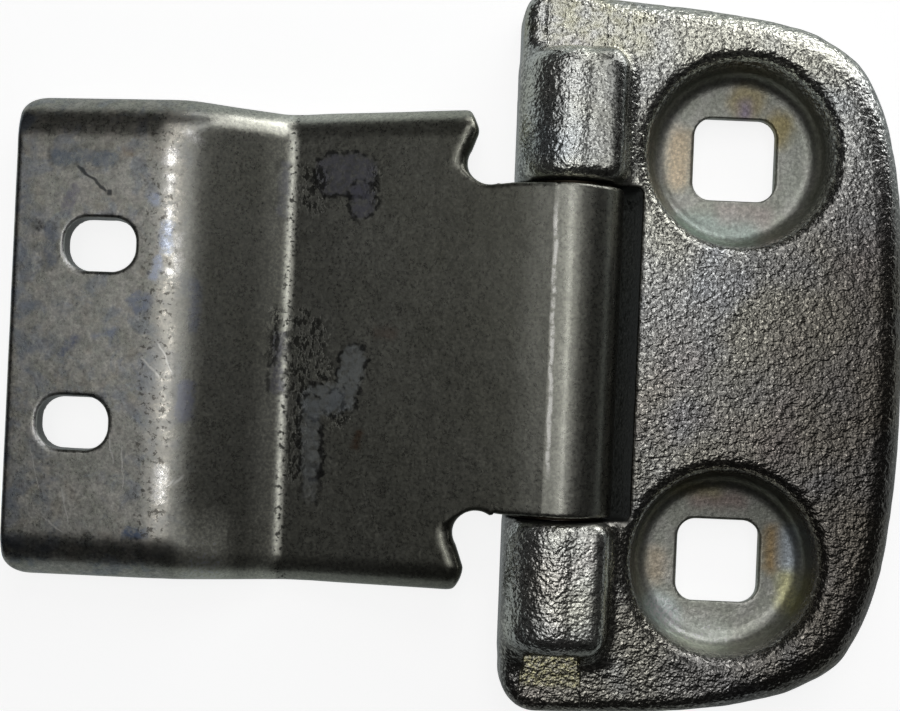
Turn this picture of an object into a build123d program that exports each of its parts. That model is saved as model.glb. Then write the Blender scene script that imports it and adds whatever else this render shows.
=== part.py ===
"""Half-moon door hinge: forged leaf with two knuckles, pressed steel strap with
a rolled eye, hinge pin, two flanged bushes and the two plugs that close the
pin bore.  Millimetres.  +Z points away from the mounting face of the leaf,
+Y runs along the pin, +X points from the pin into the leaf.  The origin lies
on the mounting face of the leaf, midway between the two bolt holes.  Profiles
are drawn in planes whose own origin lies straight below the pin.  The strap is
drawn where it rests, with its flanges level with the mounting face."""

from build123d import *
from math import radians, degrees, sin, cos, tan, atan2, acos, hypot, pi
import os

# ---------------------------------------------------------------- dimensions
# pin and bearing
pin_d = 8.0                # hinge pin
pin_half = 41.0            # half length of the pin
axis_z = 8.0               # height of the pin axis above the mounting face
bush_clear = 0.05          # radial running clearance of the bush on the pin
bush_od = 9.0              # outside of the bush, inside of the rolled eye
bush_len = 14.0            # length of the sleeve inside the eye
bush_flange_d = 13.0
bush_flange_t = 0.35
plug_d = 8.5               # plugs that close the bore beyond the pin

# forged leaf
leaf_half = 50.0           # half of the leaf's height along the pin
leaf_left = 7.5            # from the pin axis to the open edge
leaf_t = 10.0              # thickness of the leaf body
knuckle_r = 7.5
knuckle_in = 22.85         # inner faces of the knuckles, from the middle
knuckle_out = 41.3         # outer faces of the knuckles
knuckle_right = 7.3        # far side of the knuckle block
pocket_r = 10.1            # round clearance pocket for the rolled eye
edge_r = 2.4               # rounding of the leaf's rim
dish_x = 23.5              # bolt recesses, from the pin
dish_y = 28.3
dish_rim_r = 13.4
dish_floor_r = 11.2
dish_floor_z = 3.6
square = 11.4              # square hole for a carriage bolt
square_r = 2.5

# pressed strap
sheet = 3.0                # sheet thickness
eye_r = 7.5                # outside of the rolled eye
eye_half = 22.4            # half length of the eye and half width of the neck
strap_half = 33.35         # half width over the flanges
strap_mid = -0.27          # middle of the strap at its front, from the middle of the leaf
strap_skew = 0.45          # further sideways run-out at the far end
end_x = -75.6              # far end of the strap
front_x = -12.65           # end of the flanges towards the pin
web_angle = 17.0           # the middle panel rises towards the pin
ridge_x, ridge_z = -52.6, 11.3     # meeting point of pad and slope
valley_x = -38.75          # meeting point of slope and middle panel
end_z = 9.1                # upper face at the far end
ridge_r = 14.0             # outside radius of the ridge
valley_r = 3.6             # upper radius of the valley
flange_r = 4.5             # outside radius of the flange bend
roll_end = 296.0           # how far the sheet is rolled round the pin
notch_x, notch_y, notch_r = -11.0, 25.25, 3.15
nose = [(-14.12, 25.3), (-14.12, 25.6), (-12.65, 29.7), (-13.1, 31.9),
        (-14.5, 34.9), (0, 34.9), (0, 25.3)]        # open side of a notch
slot_w, slot_l = 7.8, 10.4
slot_xy = [(-64.2, 12.3), (-66.9, -12.4)]

os.makedirs("parts", exist_ok=True)

# ---------------------------------------------------------------- helpers
phi = radians(web_angle)
pin_x = -dish_x            # the pin, seen from the origin
flat = Plane(origin=(pin_x, 0, 0), x_dir=(1, 0, 0), z_dir=(0, 0, 1))
side = Plane(origin=(pin_x, 0, 0), x_dir=(1, 0, 0), z_dir=(0, -1, 0))


def web_line_z(x):
    """Upper face of the middle panel, tangent to the rolled eye."""
    return axis_z + eye_r / cos(phi) + x * tan(phi)


valley_z = web_line_z(valley_x)
pad_slope = (ridge_z - end_z) / (ridge_x - end_x)


def offset_polyline(points, dist):
    """Shift an open polyline to its right-hand side by dist, mitred."""
    dirs = []
    for (x0, z0), (x1, z1) in zip(points[:-1], points[1:]):
        n = hypot(x1 - x0, z1 - z0)
        dirs.append(((x1 - x0) / n, (z1 - z0) / n))
    out = []
    for i, (x, z) in enumerate(points):
        if i == 0 or i == len(points) - 1:
            dx, dz = dirs[0] if i == 0 else dirs[-1]
            out.append((x + dz * dist, z - dx * dist))
        else:
            (ax, az), (bx, bz) = dirs[i - 1], dirs[i]
            nx, nz = az + bz, -ax - bx
            k = dist / ((nx * az - nz * ax))
            out.append((x + nx * k, z + nz * k))
    return out


# upper face of the strap, from the far end to just past the flanges
tang_x = -eye_r * sin(phi)
tang_z = axis_z + eye_r * cos(phi)
top_line = [(end_x, end_z), (ridge_x, ridge_z), (valley_x, valley_z),
            (tang_x, tang_z)]
low_line = offset_polyline(top_line, sheet)

# ---------------------------------------------------------------- leaf
with BuildPart() as blank:
    with BuildSketch(flat):
        with BuildLine():
            right = [(47.7, 0.0), (46.4, 24.5), (43.4, 36.3), (33.7, 45.8),
                     (24.4, 47.9), (-3.5, leaf_half)]
            a1 = ThreePointArc((right[1][0], -right[1][1]), right[0], right[1])
            a2 = TangentArc(right[1], right[2], tangent=a1 % 1)
            a3 = TangentArc(right[2], right[3], tangent=a2 % 1)
            a4 = TangentArc(right[3], right[4], tangent=a3 % 1)
            a5 = TangentArc(right[4], right[5], tangent=a4 % 1)
            Line(right[5], (-leaf_left, leaf_half - 0.05))
            Line((-leaf_left, leaf_half - 0.05), (-leaf_left, 0))
            for arc in (a2, a3, a4, a5):
                mirror(arc, about=Plane.XZ)
            Line((right[5][0], -right[5][1]), (-leaf_left, -leaf_half + 0.05))
            Line((-leaf_left, -leaf_half + 0.05), (-leaf_left, 0))
        make_face()
    extrude(amount=leaf_t)
    corner_edges = blank.edges().filter_by(Axis.Z).group_by(Axis.X)[0]
    fillet(corner_edges, radius=4.4)
    rim = blank.faces().sort_by(Axis.Z)[-1].edges()
    fillet(rim, radius=edge_r)

with BuildPart() as knuckles:
    with BuildSketch(side.offset(-knuckle_out)):
        with BuildLine():
            Polyline((0, 1.0), (-knuckle_r, 1.0), (-knuckle_r, axis_z))
            ThreePointArc((-knuckle_r, axis_z),
                          (-knuckle_r * sin(pi / 4), axis_z + knuckle_r * cos(pi / 4)),
                          (0, axis_z + knuckle_r))
            Polyline((0, axis_z + knuckle_r), (knuckle_right - 0.9, axis_z + knuckle_r - 0.35),
                     (knuckle_right + 0.5, 7.0), (knuckle_right + 0.5, 1.0), (0, 1.0))
        make_face()
    extrude(amount=knuckle_out - knuckle_in)
    fillet(knuckles.edges().filter_by(Axis.Y).group_by(Axis.Z)[-2], radius=1.7)
    end_edges = knuckles.faces().sort_by(Axis.Y)[-1].edges().filter_by(
        lambda e: e.center().Z > 7.5)
    fillet(end_edges, radius=1.4)
    mirror(about=Plane.XZ)

with BuildPart() as leaf_body:
    add(blank.part)
    add(knuckles.part)
    # window for the rolled eye
    with BuildSketch(side.offset(-knuckle_in)):
        with Locations((0, axis_z)):
            Circle(pocket_r)
        with Locations((-15, 8)):
            Rectangle(30, 40)
    extrude(amount=2 * knuckle_in, mode=Mode.SUBTRACT)

with BuildPart() as leaf:
    add(leaf_body.part)
    # dished recesses
    with BuildSketch(Plane.XZ) as dish:
        with BuildLine():
            p = Polyline((0, dish_floor_z), (dish_floor_r, dish_floor_z),
                         (dish_rim_r - 0.2, leaf_t), (dish_rim_r - 0.2, leaf_t + 4),
                         (0, leaf_t + 4), (0, dish_floor_z))
        make_face()
        fillet(dish.vertices().group_by(Axis.Y)[0].sort_by(Axis.X)[-1], radius=2.2)
    dish_tool = revolve(axis=Axis.Z, mode=Mode.PRIVATE)
    with Locations((0, dish_y, 0), (0, -dish_y, 0)):
        add(dish_tool, mode=Mode.SUBTRACT)
    rims = leaf.edges().filter_by(GeomType.CIRCLE).filter_by(
        lambda e: abs(e.radius - dish_rim_r + 0.2) < 0.05
        and abs(e.center().Z - leaf_t) < 0.05)
    fillet(rims, radius=1.2)
    # square holes
    with BuildSketch(flat):
        with Locations((dish_x, dish_y), (dish_x, -dish_y)):
            RectangleRounded(square, square, square_r)
    extrude(amount=leaf_t, mode=Mode.SUBTRACT)
    # pin bore, and the wider ends that take the plugs
    with BuildSketch(side.offset(60)):
        with Locations((0, axis_z)):
            Circle(pin_d / 2)
    extrude(amount=-120, mode=Mode.SUBTRACT)
    for y0, y1 in ((pin_half, 60), (-60, -pin_half)):
        with BuildSketch(side.offset(-y0)):
            with Locations((0, axis_z)):
                Circle(plug_d / 2)
        extrude(amount=-(y1 - y0), mode=Mode.SUBTRACT)
leaf.part.label = "body_leaf"

# ---------------------------------------------------------------- pin, plugs
with BuildPart() as pin:
    with BuildSketch(side.offset(pin_half)):
        with Locations((0, axis_z)):
            Circle(pin_d / 2)
    extrude(amount=-2 * pin_half)
    chamfer(pin.edges().filter_by(GeomType.CIRCLE), length=0.6)
pin.part.label = "hinge_pin"

plugs = {}
for name, y0, y1 in (("upper_bore_plug", pin_half, 60), ("lower_bore_plug", -60, -pin_half)):
    with BuildPart() as plug:
        with BuildSketch(side.offset(-y0)):
            with Locations((0, axis_z)):
                Circle(plug_d / 2)
        extrude(amount=-(y1 - y0))
        add(leaf_body.part, mode=Mode.INTERSECT)
    plug.part.label = name
    plugs[name] = plug.part

# ---------------------------------------------------------------- strap
with BuildPart() as shell:
    # block under the upper face, deeper than the flanges
    with BuildSketch(side) as outside:
        with BuildLine():
            Polyline(*top_line[:3], (front_x, web_line_z(front_x)),
                     (front_x, -12.0), (end_x - 1.0, -12.0),
                     (end_x - 1.0, end_z - pad_slope), (end_x, end_z))
        make_face()
        fillet(outside.vertices().filter_by(lambda v: abs(v.X - ridge_x) < 0.1), radius=ridge_r)
        fillet(outside.vertices().filter_by(
            lambda v: abs(v.X - valley_x) < 0.1 and v.Y > 2), radius=valley_r)
    extrude(amount=50, both=True)
    with BuildSketch(flat.offset(-15)) as plan:
        with BuildLine():
            far_mid = strap_mid - strap_skew * 1.03
            Polyline((end_x - 2, far_mid - strap_half), (front_x, strap_mid - strap_half),
                     (front_x, strap_mid + strap_half), (end_x - 2, far_mid + strap_half),
                     (end_x - 2, far_mid - strap_half))
        make_face()
    extrude(amount=40, mode=Mode.INTERSECT)
    long_edges = shell.edges().filter_by(
        lambda e: abs(abs(e.center().Y) - strap_half) < 1.0 and e.center().Z > 2.0
        and pin_x + end_x < e.center().X < pin_x + front_x - 0.5)
    fillet(long_edges, radius=flange_r)

with BuildPart() as cavity_long:
    with BuildSketch(side) as hollow_side:
        with BuildLine():
            li = low_line
            Polyline((li[0][0] - 8, li[0][1] - 8 * pad_slope), li[1], li[2],
                     (front_x + 4, li[3][1] + (front_x + 4 - li[3][0]) * tan(phi)),
                     (front_x + 4, -14.0), (li[0][0] - 8, -14.0),
                     (li[0][0] - 8, li[0][1] - 8 * pad_slope))
        make_face()
        fillet(hollow_side.vertices().filter_by(
            lambda v: abs(v.X - li[1][0]) < 0.1 and v.Y > 2), radius=ridge_r - sheet)
        fillet(hollow_side.vertices().filter_by(
            lambda v: abs(v.X - li[2][0]) < 0.1 and v.Y > -1), radius=valley_r + sheet)
    extrude(amount=50, both=True)

with BuildPart() as cavity:
    with BuildSketch(flat.offset(-14)):
        with BuildLine():
            far_mid = strap_mid - strap_skew * 1.14
            near_mid = strap_mid + strap_skew * 0.06
            inner = strap_half - sheet
            Polyline((end_x - 9, far_mid - inner), (front_x + 4, near_mid - inner),
                     (front_x + 4, near_mid + inner), (end_x - 9, far_mid + inner),
                     (end_x - 9, far_mid - inner))
        make_face()
    extrude(amount=44)
    add(cavity_long.part, mode=Mode.INTERSECT)
    inner_edges = cavity.edges().filter_by(
        lambda e: abs(abs(e.center().Y) - (strap_half - sheet)) < 1.2
        and e.center().Z > -2 and e.center().Z < 14
        and pin_x + end_x - 8.5 < e.center().X < pin_x + front_x + 3.5)
    fillet(inner_edges, radius=flange_r - sheet)

# rounded outline of the wide part, and the lower edge of its flanges
with BuildPart() as trim:
    with BuildSketch(flat.offset(-20)) as outline:
        with BuildLine():
            Polyline((end_x - 0.45, -strap_half - 2), (front_x, -strap_half - 2),
                     (front_x, strap_half + 2), (end_x + 0.25, strap_half + 2),
                     (end_x - 0.45, -strap_half - 2))
        make_face()
    extrude(amount=44)
    with BuildSketch(side):
        with BuildLine():
            Polyline((end_x - 4, 0.0), (-42.0, 0.0), (-33.0, 0.35), (front_x, 3.4),
                     (front_x, 30.0), (end_x - 4, 30.0), (end_x - 4, 0.0))
        make_face()
    extrude(amount=50, both=True, mode=Mode.INTERSECT)

with BuildPart() as neck:
    # flat sheet from the wide part to the pin, and the roll round the pin
    with BuildSketch(side):
        with BuildLine():
            x0 = front_x - 6.0
            Polyline((x0, web_line_z(x0)), (tang_x, tang_z))
            e0 = 90 + web_angle
            CenterArc((0, axis_z), eye_r, e0, -roll_end)
            a_end = radians(e0 - roll_end)
            Line((eye_r * cos(a_end), axis_z + eye_r * sin(a_end)),
                 ((eye_r - sheet) * cos(a_end), axis_z + (eye_r - sheet) * sin(a_end)))
            CenterArc((0, axis_z), eye_r - sheet, e0 - roll_end, roll_end)
            x1 = x0 + sheet * sin(phi)
            Polyline(((eye_r - sheet) * cos(radians(e0)), axis_z + (eye_r - sheet) * sin(radians(e0))),
                     (x1, web_line_z(x0) - sheet * cos(phi)), (x0, web_line_z(x0)))
        make_face()
    extrude(amount=eye_half, both=True)

with BuildPart() as strap:
    add(shell.part)
    add(cavity.part, mode=Mode.SUBTRACT)
    add(trim.part, mode=Mode.INTERSECT)
    add(neck.part)
    # relief notches beside the knuckles
    with BuildSketch(flat.offset(-2)):
        with Locations((notch_x, notch_y), (notch_x, -notch_y)):
            Circle(notch_r)
        for s in (1, -1):
            with BuildLine():
                Polyline(*[(x, s * y) for x, y in nose + nose[:1]])
            make_face()
    extrude(amount=30, mode=Mode.SUBTRACT)
    # bolt slots
    pad_plane = Plane(origin=(pin_x + end_x, 0, end_z), x_dir=(1, 0, pad_slope), z_dir=(-pad_slope, 0, 1))
    with BuildSketch(pad_plane.offset(3)):
        for sx, sy in slot_xy:
            with Locations(((sx - end_x) * hypot(1, pad_slope), sy)):
                RectangleRounded(slot_l, slot_w, slot_w / 2 - 0.6)
    extrude(amount=-9, mode=Mode.SUBTRACT)
strap.part.label = "door_strap"

# ---------------------------------------------------------------- bushes
bushes = {}
for name, s in (("upper_bush", 1), ("lower_bush", -1)):
    with BuildPart() as bush:
        with BuildSketch(side.offset(-s * eye_half)):
            with Locations((0, axis_z)):
                Circle(bush_flange_d / 2)
                Circle(pin_d / 2 + bush_clear, mode=Mode.SUBTRACT)
        extrude(amount=-s * bush_flange_t)
        with BuildSketch(side.offset(-s * eye_half)):
            with Locations((0, axis_z)):
                Circle(bush_od / 2)
                Circle(pin_d / 2 + bush_clear, mode=Mode.SUBTRACT)
        extrude(amount=s * bush_len)
    bush.part.label = name
    bushes[name] = bush.part

# ---------------------------------------------------------------- export
export_step(leaf.part, "parts/body_leaf.step")
export_step(pin.part, "parts/hinge_pin.step")
for name, solid in plugs.items():
    export_step(solid, "parts/%s.step" % name)
export_step(strap.part, "parts/door_strap.step")
for name, solid in bushes.items():
    export_step(solid, "parts/%s.step" % name)
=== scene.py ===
"""Looks of the half-moon door hinge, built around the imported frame."""
import bpy
import math
import numpy as np
from mathutils import Vector, Matrix


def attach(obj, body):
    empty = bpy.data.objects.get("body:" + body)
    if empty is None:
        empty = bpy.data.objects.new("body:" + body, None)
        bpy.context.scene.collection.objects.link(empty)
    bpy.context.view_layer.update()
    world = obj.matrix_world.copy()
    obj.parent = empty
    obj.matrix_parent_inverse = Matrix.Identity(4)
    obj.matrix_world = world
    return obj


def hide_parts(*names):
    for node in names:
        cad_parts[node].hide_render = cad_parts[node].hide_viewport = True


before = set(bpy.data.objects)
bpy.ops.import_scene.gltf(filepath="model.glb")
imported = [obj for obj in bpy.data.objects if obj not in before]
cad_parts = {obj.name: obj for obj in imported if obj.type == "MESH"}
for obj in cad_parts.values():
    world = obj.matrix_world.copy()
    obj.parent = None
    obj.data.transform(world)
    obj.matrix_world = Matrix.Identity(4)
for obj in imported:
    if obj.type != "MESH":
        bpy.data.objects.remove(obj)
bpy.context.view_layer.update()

# ------------------------------------------------------------------ sizes, mm
PIN_X, PIN_Z = -23.5, 8.0      # pin axis in the row frame
SHEET = 3.0
WEB = math.radians(17.0)
EYE_R = 7.5
EYE_HALF = 22.4
KN_IN, KN_OUT = 22.85, 41.3
LEAF_T = 10.0
DISH_X, DISH_Y = 23.3, 28.15
STRAP_HALF = 33.32
END_X, END_Z = -75.6, 9.1
END_EDGE = -76.15
RIDGE = (-52.6, 11.3)
VALLEY_X = -38.75
FRONT_X = -12.65
NOTCH = (-11.0, 25.25, 3.15)
SLOTS = [(-63.9, 11.9), (-66.75, -12.55)]
PAD_SLOPE = (RIDGE[1] - END_Z) / (RIDGE[0] - END_X)


def web_z(x):
    return PIN_Z + EYE_R / math.cos(WEB) + x * math.tan(WEB)


# ------------------------------------------------------------------ noise
def _hash(ix, iy, iz, seed):
    h = (ix.astype(np.int64) * 374761393 + iy.astype(np.int64) * 668265263
         + iz.astype(np.int64) * 2147483647 + seed * 1274126177) & 0xFFFFFFFF
    h = ((h ^ (h >> 13)) * 1274126177) & 0xFFFFFFFF
    h = ((h ^ (h >> 16)) * 2246822519) & 0xFFFFFFFF
    return ((h ^ (h >> 15)) & 0xFFFFFF).astype(np.float32) / np.float32(0xFFFFFF)


def vnoise(p, size, seed=0):
    """Smooth value noise in -1..1; size is the cell in mm."""
    q = p / size
    f0 = np.floor(q)
    i = f0.astype(np.int64)
    f = (q - f0).astype(np.float32)
    u = f * f * f * (f * (f * 6 - 15) + 10)
    out = 0
    for dx in (0, 1):
        wx = u[:, 0] if dx else 1 - u[:, 0]
        for dy in (0, 1):
            wy = u[:, 1] if dy else 1 - u[:, 1]
            for dz in (0, 1):
                wz = u[:, 2] if dz else 1 - u[:, 2]
                out = out + wx * wy * wz * _hash(i[:, 0] + dx, i[:, 1] + dy, i[:, 2] + dz, seed)
    return out * 2 - 1


def fbm(p, size, octaves=3, seed=0, gain=0.5):
    out, amp, tot = 0, 1.0, 0.0
    for o in range(octaves):
        out = out + amp * vnoise(p + 17.3 * o, size / 2 ** o, seed + 31 * o)
        tot += amp
        amp *= gain
    return out / tot


def smooth(a, b, x):
    t = np.clip((x - a) / (b - a), 0, 1)
    return t * t * (3 - 2 * t)


# ------------------------------------------------------------------ distance tools
def r_and(a, b, r):
    """Intersection with an edge rounded to radius r."""
    u = np.maximum(a + r, 0)
    v = np.maximum(b + r, 0)
    return np.sqrt(u * u + v * v) + np.minimum(np.maximum(a, b) + r, 0) - r


def r_or(a, b, r):
    """Union with a fillet of radius r."""
    u = np.maximum(r - a, 0)
    v = np.maximum(r - b, 0)
    return r - np.sqrt(u * u + v * v) + np.maximum(np.minimum(a, b) - r, 0)


def rbox2(x, y, hx, hy, r):
    u = np.abs(x) - hx + r
    v = np.abs(y) - hy + r
    return np.sqrt(np.maximum(u, 0) ** 2 + np.maximum(v, 0) ** 2) + np.minimum(np.maximum(u, v), 0) - r


class Field2:
    """A distance in a plane, sampled on a fine grid and read back between its points."""

    def __init__(self, lo, hi, h, values_at):
        self.lo, self.h = lo, h
        nx = int((hi[0] - lo[0]) / h) + 2
        ny = int((hi[1] - lo[1]) / h) + 2
        gx = lo[0] + h * np.arange(nx)
        gy = lo[1] + h * np.arange(ny)
        X, Y = np.meshgrid(gx, gy, indexing="ij")
        self.v = values_at(X.ravel(), Y.ravel()).reshape(nx, ny).astype(np.float32)

    def __call__(self, x, y):
        fx = np.clip((x - self.lo[0]) / self.h, 0, self.v.shape[0] - 1.001)
        fy = np.clip((y - self.lo[1]) / self.h, 0, self.v.shape[1] - 1.001)
        ix = fx.astype(np.int32)
        iy = fy.astype(np.int32)
        tx = (fx - ix).astype(np.float32)
        ty = (fy - iy).astype(np.float32)
        v = self.v
        return ((v[ix, iy] * (1 - tx) + v[ix + 1, iy] * tx) * (1 - ty)
                + (v[ix, iy + 1] * (1 - tx) + v[ix + 1, iy + 1] * tx) * ty)


def seg_distance(px, py, pts, closed=False):
    """(distance, side) to a polyline; side is positive on its left."""
    best = np.full(px.shape, 1e9, np.float32)
    side = np.zeros(px.shape, np.float32)
    P = np.asarray(pts, np.float32)
    Q = np.roll(P, -1, axis=0) if closed else P[1:]
    P = P if closed else P[:-1]
    px = px.astype(np.float32)
    py = py.astype(np.float32)
    for (ax, ay), (bx, by) in zip(P, Q):
        dx, dy = bx - ax, by - ay
        L = dx * dx + dy * dy
        if L < 1e-12:
            continue
        t = np.clip(((px - ax) * dx + (py - ay) * dy) / L, 0, 1)
        ex = px - ax - t * dx
        ey = py - ay - t * dy
        d = ex * ex + ey * ey
        s = dx * (py - ay) - dy * (px - ax)
        near = d < best - 1e-7
        best = np.where(near, d, best)
        side = np.where(near, s, side)
    return np.sqrt(best), side


def arc_points(c, r, a0, a1, n):
    a = np.linspace(a0, a1, n)
    return np.stack([c[0] + r * np.cos(a), c[1] + r * np.sin(a)], 1)


def fillet_corner(p0, p1, p2, r, n=14):
    """Points of an arc that rounds the corner p1."""
    p0, p1, p2 = map(np.asarray, (p0, p1, p2))
    u = (p0 - p1) / np.linalg.norm(p0 - p1)
    v = (p2 - p1) / np.linalg.norm(p2 - p1)
    ang = math.acos(float(np.dot(u, v)))
    d = r / math.tan(ang / 2)
    a, b = p1 + u * d, p1 + v * d
    c = p1 + (u + v) / np.linalg.norm(u + v) * r / math.sin(ang / 2)
    a0 = math.atan2(*(a - c)[::-1])
    a1 = math.atan2(*(b - c)[::-1])
    while a1 - a0 > math.pi:
        a1 -= 2 * math.pi
    while a1 - a0 < -math.pi:
        a1 += 2 * math.pi
    return arc_points(c, r, a0, a1, n)


def tangent_arc(p, t, q, n=26):
    """Arc from p with direction t to q: points and end direction."""
    p, q, t = map(np.asarray, (p, q, t))
    ch = q - p
    L = np.linalg.norm(ch)
    a = math.atan2(t[0] * ch[1] - t[1] * ch[0], float(np.dot(t, ch)))
    if abs(a) < 1e-6:
        return np.linspace(p, q, n), t
    r = L / (2 * math.sin(a))
    nrm = np.array([-t[1], t[0]])
    c = p + nrm * r
    s = np.linspace(0, 2 * a, n)
    base = p - c
    pts = np.stack([c[0] + base[0] * np.cos(s) - base[1] * np.sin(s),
                    c[1] + base[0] * np.sin(s) + base[1] * np.cos(s)], 1)
    te = np.array([t[0] * math.cos(2 * a) - t[1] * math.sin(2 * a),
                   t[0] * math.sin(2 * a) + t[1] * math.cos(2 * a)])
    return pts, te


def surface(f, lo, hi, h, relax=2):
    """Quads on the zero level of f, a function of x, y, z arrays in mm."""
    n = [int(math.ceil((b - a) / h)) + 1 for a, b in zip(lo, hi)]
    ax = [(lo[k] + h * np.arange(n[k])).astype(np.float32) for k in range(3)]
    S = np.empty(n, np.float32)
    step = 24
    for i0 in range(0, n[0], step):
        X, Y, Z = np.meshgrid(ax[0][i0:i0 + step], ax[1], ax[2], indexing="ij")
        S[i0:i0 + step] = f(X.ravel(), Y.ravel(), Z.ravel()).reshape(X.shape)
    inside = S < 0
    cells = np.zeros([k - 1 for k in n], np.int8)
    corners = [(i, j, k) for i in (0, 1) for j in (0, 1) for k in (0, 1)]
    sl = lambda c: tuple(slice(c[k], n[k] - 1 + c[k]) for k in range(3))
    for c in corners:
        cells += inside[sl(c)]
    active = (cells > 0) & (cells < 8)
    idx = np.full(active.shape, -1, np.int64)
    where = np.argwhere(active)
    idx[active] = np.arange(len(where))
    base = where.astype(np.float32)
    acc = np.zeros((len(where), 3), np.float32)
    cnt = np.zeros(len(where), np.float32)
    for a in corners:
        for k in range(3):
            if a[k]:
                continue
            b = list(a)
            b[k] = 1
            sa = S[tuple((where + a).T)]
            sb = S[tuple((where + b).T)]
            cross = (sa < 0) != (sb < 0)
            t = np.where(cross, sa / np.where(cross, sa - sb, 1), 0)
            pos = np.tile(np.asarray(a, np.float32), (len(where), 1))
            pos[:, k] += t
            acc += np.where(cross[:, None], pos, 0)
            cnt += cross
    verts = (base + acc / np.maximum(cnt, 1)[:, None]) * h + np.asarray(lo, np.float32)
    quads = []
    for k in range(3):
        u, v = [(1, 2), (2, 0), (0, 1)][k]
        s0 = [slice(None)] * 3
        s1 = [slice(None)] * 3
        s0[k], s1[k] = slice(0, n[k] - 1), slice(1, n[k])
        ch = inside[tuple(s0)] != inside[tuple(s1)]
        w = np.argwhere(ch)
        ok = (w[:, u] > 0) & (w[:, v] > 0) & (w[:, u] < n[u] - 1) & (w[:, v] < n[v] - 1)
        w = w[ok]
        eu = np.eye(3, dtype=int)[u]
        ev = np.eye(3, dtype=int)[v]
        q = np.stack([idx[tuple((w - eu - ev).T)], idx[tuple((w - ev).T)],
                      idx[tuple(w.T)], idx[tuple((w - eu).T)]], 1)
        out = inside[tuple(w.T)]
        q[~out] = q[~out][:, ::-1]
        quads.append(q)
    quads = np.concatenate(quads)
    keep = (quads >= 0).all(axis=1)
    quads = quads[keep]

    def grad(p):
        e = 0.02
        g = np.empty_like(p)
        for k in range(3):
            d = np.zeros(3, np.float32)
            d[k] = e
            a, b = p + d, p - d
            g[:, k] = (f(a[:, 0], a[:, 1], a[:, 2]) - f(b[:, 0], b[:, 1], b[:, 2])) / (2 * e)
        return g

    def project(p, limit):
        v = f(p[:, 0], p[:, 1], p[:, 2])
        g = grad(p)
        gg = np.maximum((g * g).sum(1), 0.2)
        d = g * (v / gg)[:, None]
        m = np.linalg.norm(d, axis=1)
        d *= np.minimum(1, limit / np.maximum(m, 1e-9))[:, None]
        return p - d

    verts = project(verts, 0.5 * h)
    for _ in range(relax):
        s = np.zeros_like(verts)
        c = np.zeros(len(verts), np.float32)
        for a, b in ((0, 1), (1, 2), (2, 3), (3, 0)):
            np.add.at(s, quads[:, a], verts[quads[:, b]])
            np.add.at(s, quads[:, b], verts[quads[:, a]])
            np.add.at(c, quads[:, a], 1)
            np.add.at(c, quads[:, b], 1)
        verts = verts * 0.5 + 0.5 * s / np.maximum(c, 1)[:, None]
        verts = project(verts, 0.5 * h)
    g = grad(verts)
    g /= np.maximum(np.linalg.norm(g, axis=1), 1e-6)[:, None]
    return verts, quads, g


def make_mesh(name, verts, quads, attrs=None):
    me = bpy.data.meshes.new(name)
    me.vertices.add(len(verts))
    co = verts.astype(np.float64).copy()
    co[:, 0] += PIN_X
    me.vertices.foreach_set("co", (co * 0.001).astype(np.float32).ravel())
    me.loops.add(quads.size)
    me.loops.foreach_set("vertex_index", quads.astype(np.int32).ravel())
    me.polygons.add(len(quads))
    me.polygons.foreach_set("loop_start", np.arange(0, quads.size, 4, dtype=np.int32))
    me.polygons.foreach_set("loop_total", np.full(len(quads), 4, np.int32))
    me.update(calc_edges=True)
    me.validate()
    me.polygons.foreach_set("use_smooth", np.ones(len(me.polygons), bool))
    for key, val in (attrs or {}).items():
        at = me.attributes.new(key, "FLOAT", "POINT")
        at.data.foreach_set("value", val.astype(np.float32))
    ob = bpy.data.objects.new(name, me)
    bpy.context.scene.collection.objects.link(ob)
    return ob


# ------------------------------------------------------------------ leaf
def half_outline(points, corner, left=-7.5):
    """Smooth curve through the points, ended by the rounded corner at the open edge."""
    P = np.array([(points[0][0] * 2 - points[1][0] + 0.1, -points[1][1])] + points + [(-12.0, points[-1][1])])
    out = []
    for k in range(1, len(P) - 2):
        p0, p1, p2, p3 = P[k - 1:k + 3]
        t = np.linspace(0, 1, 10, endpoint=False)[:, None]
        m1 = (p2 - p0) * np.linalg.norm(p2 - p1) / (np.linalg.norm(p2 - p1) + np.linalg.norm(p1 - p0))
        m2 = (p3 - p1) * np.linalg.norm(p2 - p1) / (np.linalg.norm(p3 - p2) + np.linalg.norm(p2 - p1))
        out.append((2 * t ** 3 - 3 * t ** 2 + 1) * p1 + (t ** 3 - 2 * t ** 2 + t) * m1
                   + (3 * t ** 2 - 2 * t ** 3) * p2 + (t ** 3 - t ** 2) * m2)
    end = points[-1]
    out.append(fillet_corner(end, (left, end[1] + 0.1), (-7.5, 0.0), corner))
    return np.concatenate(out)


def leaf_outline():
    up = half_outline([(47.6, 0.0), (47.25, 12.0), (46.1, 24.4), (44.85, 30.8), (43.2, 36.15), (39.85, 41.75),
                       (33.75, 45.75), (29.3, 47.0), (24.4, 47.85), (15.0, 48.9), (5.0, 49.4), (-3.0, 49.8)], 3.8)
    low = half_outline([(47.6, 0.0), (47.45, 12.0), (46.5, 24.4), (45.3, 30.8), (43.5, 36.3), (40.1, 42.0),
                        (33.75, 45.85), (29.3, 47.15), (24.4, 48.1), (15.0, 49.2), (6.0, 49.6), (-1.4, 49.8)], 5.3, -7.05)
    down = low[::-1] * [1, -1]
    return np.concatenate([up, down[:-1]])


_out = leaf_outline()


def _outline_values(x, y):
    d, s = seg_distance(x, y, _out, closed=True)
    return np.where(s > 0, -d, d)


outline = Field2((-14, -56), (54, 56), 0.16, _outline_values)


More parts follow.
